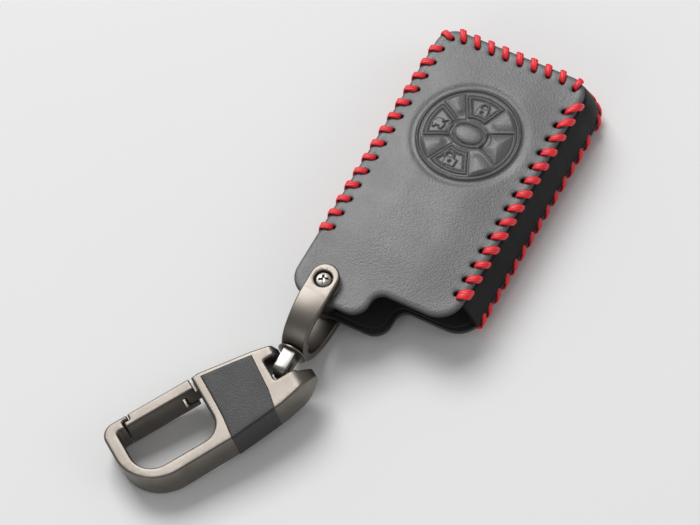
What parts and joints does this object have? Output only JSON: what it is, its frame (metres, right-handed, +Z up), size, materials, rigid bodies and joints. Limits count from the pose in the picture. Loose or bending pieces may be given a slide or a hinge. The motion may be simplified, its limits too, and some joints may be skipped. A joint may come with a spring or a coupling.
{
  "type": "key fob cover with keychain hook",
  "caption": "Stitched leather pouch for a car key fob, open at one end, with a metal shackle, swivel and spring-gate hook on its corner.",
  "frame": {"origin": "on the flat back face that the pouch lies on, under the middle of the front panel", "axes": "+X across the pouch, +Y to the pouch's closed top edge, away from the hook, +Z up through the front panel"},
  "size_m": [0.0746, 0.1605, 0.0195],
  "materials": {
    "grained_leather": "fine grain, satin",
    "gusset_leather": "smooth, satin",
    "band_leather": "fine grain, satin",
    "lining": "soft nap, matt",
    "red_thread": "waxed, twisted",
    "satin_metal": "satin plated",
    "bright_metal": "satin",
    "spring_steel": "bright"
  },
  "bodies": {
    "pouch": {"front_panel": "grained_leather", "front_lining": "lining", "back_panel": "grained_leather", "back_lining": "lining", "gusset": "gusset_leather", "front_seam_thread": "red_thread", "back_seam_thread": "red_thread", "front_eyelet": "satin_metal", "back_eyelet": "satin_metal", "corner_spacer": "satin_metal"},
    "shackle": {"shackle": "satin_metal", "shackle_screw": "bright_metal"},
    "swivel": {"swivel_screw": "bright_metal", "swivel_washer": "satin_metal", "swivel_link": "bright_metal"},
    "pin": {"link_pin": "bright_metal"},
    "hook": {"hook_frame": "satin_metal", "leather_band": "band_leather", "gate_pin": "bright_metal", "gate_spring": "spring_steel"},
    "gate": {"gate": "satin_metal"}
  },
  "joints": [
    {"name": "shackle_swing", "type": "hinge", "parent": "pouch", "child": "shackle", "pos_m": [-0.0134, -0.0406, 0.0099], "axis": [0, 0, 1], "range_deg": [-58, 48]},
    {"name": "swivel_turn", "type": "hinge", "parent": "shackle", "child": "swivel", "pos_m": [-0.0134, -0.059, 0.0099], "axis": [0, -1, 0], "continuous": true},
    {"name": "link_yaw", "type": "hinge", "parent": "swivel", "child": "pin", "pos_m": [-0.0134, -0.06505, 0.0099], "axis": [0, 0, 1], "range_deg": [-0.5, 33.5]},
    {"name": "hook_tilt", "type": "hinge", "parent": "pin", "child": "hook", "pos_m": [-0.0134, -0.06505, 0.0099], "axis": [0.8387, -0.5446, 0], "range_deg": [-19, 8.5]},
    {"name": "gate_swing", "type": "hinge", "parent": "hook", "child": "gate", "pos_m": [-0.03301, -0.08212, 0.00758], "axis": [-0.0503, -0.0774, 0.9957], "range_deg": [0, 28], "stiffness_Nm_per_rad": 0.02, "springref_deg": -20.05}
  ]
}
